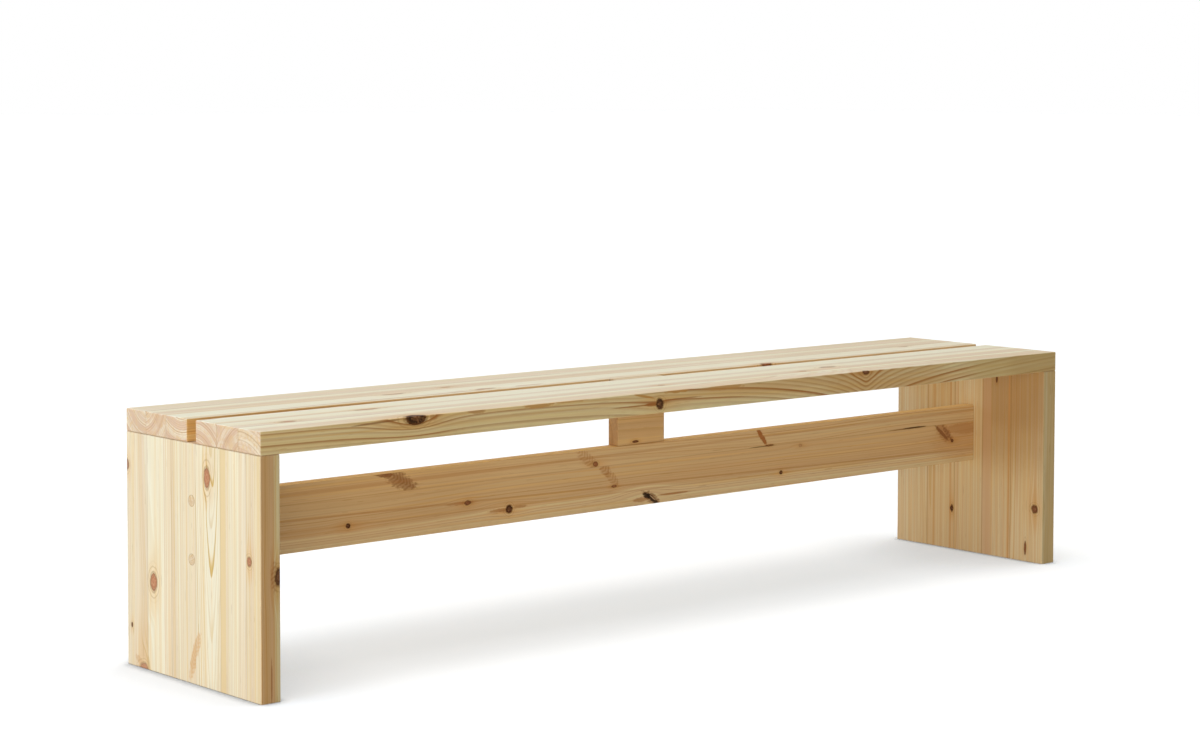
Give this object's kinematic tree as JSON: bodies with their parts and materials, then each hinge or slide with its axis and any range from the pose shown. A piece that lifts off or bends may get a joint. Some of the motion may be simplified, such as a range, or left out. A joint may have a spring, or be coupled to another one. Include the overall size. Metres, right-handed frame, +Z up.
{
  "type": "bench",
  "caption": "Long plain pine bench: parallel seat planks with a gap lie on flat end panels tied by an edgewise stretcher and a short centre post.",
  "frame": {"origin": "on the floor under the middle of the seat", "axes": "+X along the bench, -Y is the front, +Z up"},
  "size_m": [2, 0.42, 0.45],
  "materials": {
    "seat_pine": "untreated planed pine with knots, edges eased",
    "leg_pine": "untreated planed pine with knots, upright grain",
    "stretcher_pine": "untreated planed pine with knots, grain along the board",
    "post_pine": "untreated planed pine, end grain on both sides",
    "plug_pine": "pine cross-grain plug, sanded flush",
    "dowel_beech": "plain turned beech, hidden",
    "screw_steel": "zinc-plated steel, hidden"
  },
  "bodies": {
    "root": {"seat_front_stave_1": "seat_pine", "seat_front_stave_2": "seat_pine", "seat_front_stave_3": "seat_pine", "seat_rear_stave_1": "seat_pine", "seat_rear_stave_2": "seat_pine", "seat_rear_stave_3": "seat_pine", "left_leg_stave_1": "leg_pine", "left_leg_stave_2": "leg_pine", "left_leg_stave_3": "leg_pine", "left_leg_stave_4": "leg_pine", "left_leg_stave_5": "leg_pine", "left_leg_stave_6": "leg_pine", "right_leg_stave_1": "leg_pine", "right_leg_stave_2": "leg_pine", "right_leg_stave_3": "leg_pine", "right_leg_stave_4": "leg_pine", "right_leg_stave_5": "leg_pine", "stretcher_lower_stave": "stretcher_pine", "stretcher_upper_stave": "stretcher_pine", "centre_post": "post_pine", "left_screw_plugs": "plug_pine", "right_screw_plugs": "plug_pine", "left_front_seat_dowels": "dowel_beech", "left_rear_seat_dowels": "dowel_beech", "right_front_seat_dowels": "dowel_beech", "right_rear_seat_dowels": "dowel_beech", "post_foot_dowels": "dowel_beech", "post_cross_dowels": "dowel_beech", "left_stretcher_screws": "screw_steel", "right_stretcher_screws": "screw_steel"}
  },
  "joints": []
}
